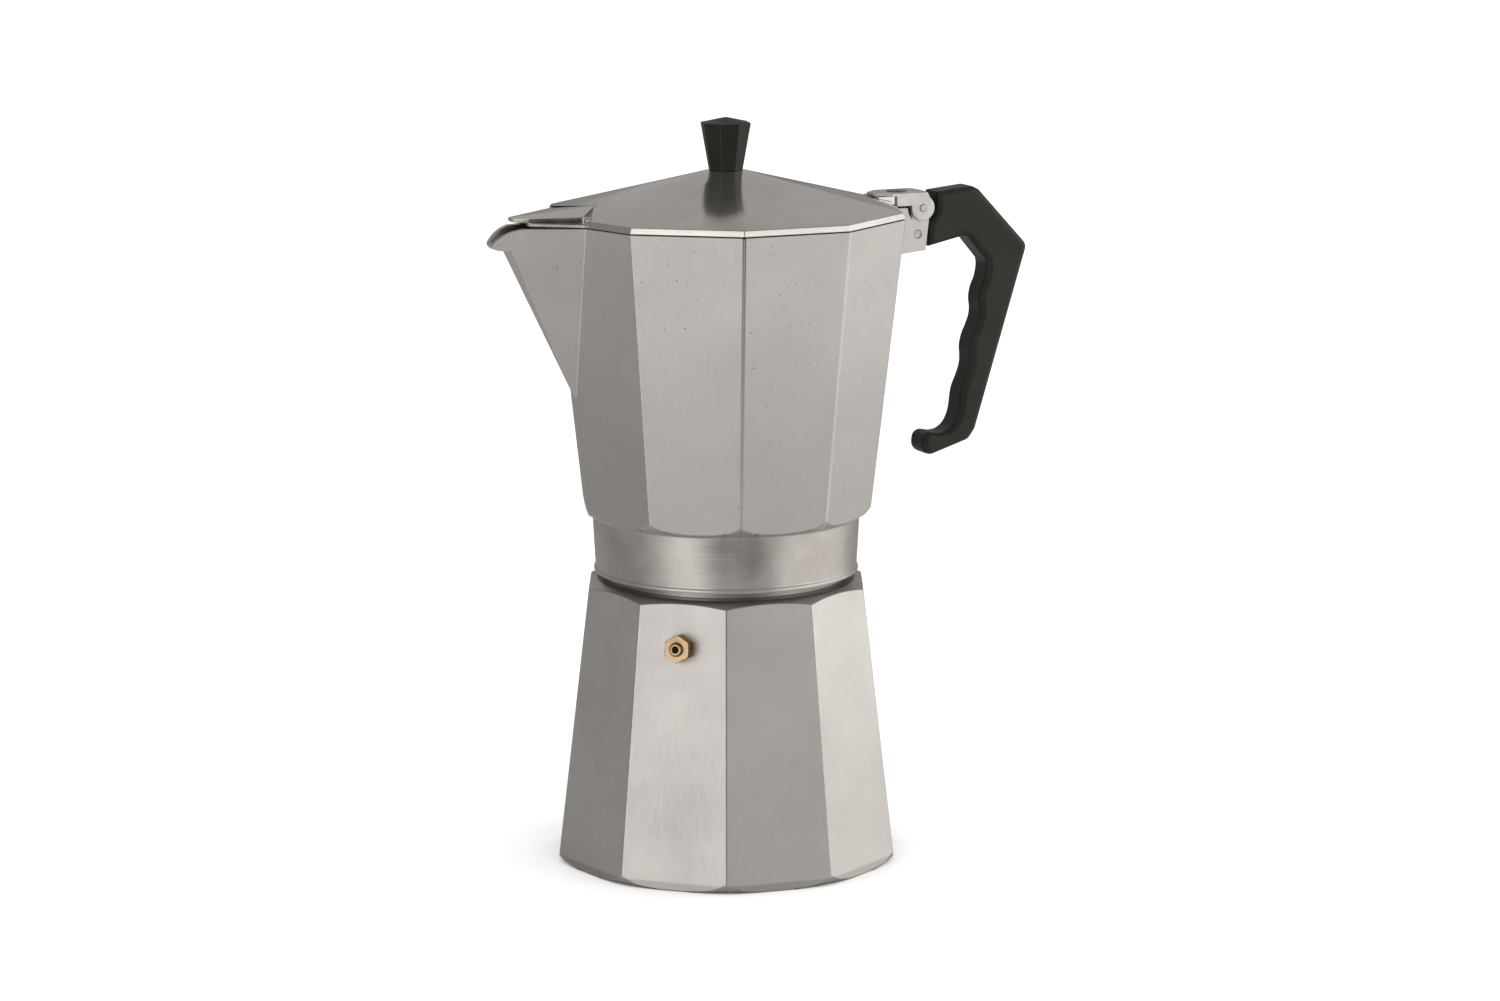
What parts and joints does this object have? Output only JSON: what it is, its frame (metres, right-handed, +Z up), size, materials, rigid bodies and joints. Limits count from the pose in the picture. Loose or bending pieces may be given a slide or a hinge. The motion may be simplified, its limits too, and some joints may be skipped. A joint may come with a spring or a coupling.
{
  "type": "moka pot",
  "caption": "Stovetop coffee maker: faceted aluminium boiler, funnel and screw-on upper chamber with spout, hinged lid with knob, hooked black grip.",
  "frame": {"origin": "on the pot's vertical axis, in the plane of the flat base it stands on", "axes": "+Z up the pot's axis; +X out through the handle and its hinge; -X out through the spout"},
  "size_m": [0.225, 0.134, 0.2898],
  "materials": {
    "boiler_metal": "satin",
    "chamber_metal": "satin",
    "lid_metal": "satin",
    "riser_metal": "satin",
    "funnel_metal": "bright",
    "filter_metal": "bright",
    "valve_brass": "turned",
    "insert_brass": "turned",
    "valve_steel": "satin",
    "pin_steel": "satin",
    "bracket_steel": "satin",
    "gasket_rubber": "matt",
    "grip_plastic": "satin"
  },
  "bodies": {
    "boiler": {"boiler": "boiler_metal", "valve_body": "valve_brass", "valve_nose": "valve_brass", "valve_spring": "valve_steel"},
    "valve_poppet": {"valve_poppet": "valve_steel"},
    "funnel": {"funnel": "funnel_metal", "funnel_strainer": "funnel_metal"},
    "upper_chamber": {"upper_chamber": "chamber_metal", "riser_tube": "riser_metal", "gasket": "gasket_rubber", "filter_plate": "filter_metal", "handle": "grip_plastic", "handle_pin": "pin_steel", "hinge_pin": "pin_steel"},
    "lid": {"lid": "lid_metal", "hinge_bracket": "bracket_steel", "bracket_rivet": "bracket_steel", "knob": "grip_plastic", "knob_insert": "insert_brass", "knob_screw": "pin_steel"}
  },
  "joints": [
    {"name": "valve_lift", "type": "slide", "parent": "boiler", "child": "valve_poppet", "axis": [-0.6609, -0.7418, 0.114], "range_m": [0, 0.0012], "stiffness_N_per_m": 400, "springref_m": -0.004, "deforming": ["valve_spring"]},
    {"name": "thread_advance", "type": "slide", "parent": "boiler", "child": "funnel", "axis": [0, 0, 1], "range_m": [0, 0.0101]},
    {"name": "unscrew", "type": "hinge", "parent": "funnel", "child": "upper_chamber", "pos_m": [0, 0, 0.12], "axis": [0, 0, 1], "range_deg": [0, 900]},
    {"name": "lid_hinge", "type": "hinge", "parent": "upper_chamber", "child": "lid", "pos_m": [0.0809, 0, 0.25165], "axis": [0, 1, 0], "range_deg": [0, 90]}
  ],
  "couplings": [
    {"joint": "thread_advance", "follows": "unscrew", "m_per_rad": 0.00063662}
  ]
}
